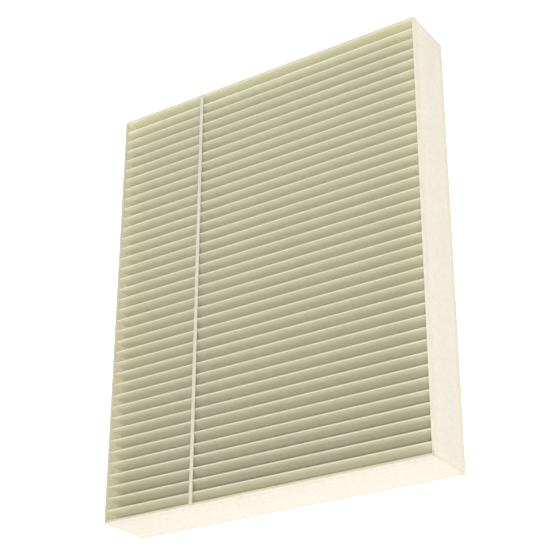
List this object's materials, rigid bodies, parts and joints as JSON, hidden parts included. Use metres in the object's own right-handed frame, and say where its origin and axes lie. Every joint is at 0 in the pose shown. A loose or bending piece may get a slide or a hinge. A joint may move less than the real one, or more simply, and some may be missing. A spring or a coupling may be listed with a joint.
{
  "type": "cabin air filter",
  "caption": "Rectangular pleated panel filter: a deep-folded nonwoven sheet in a thin felt edging, with a glue bead across the folds; cleans the air blown into a cabin.",
  "frame": {"origin": "middle of the back of the panel, on the surface that it lies on", "axes": "+X along the pleats to the right side strip, +Y across the pleats to the top end strip, +Z through the depth, up out of the front face that carries the bead"},
  "size_m": [0.18, 0.229, 0.0304],
  "materials": {
    "nonwoven_medium": "matte",
    "edge_felt": "matte",
    "set_glue": "satin"
  },
  "bodies": {
    "root": {"pleated_medium": "nonwoven_medium", "left_side_strip": "edge_felt", "right_side_strip": "edge_felt", "top_end_strip": "edge_felt", "bottom_end_strip": "edge_felt", "stabilising_bead": "set_glue"}
  },
  "joints": []
}
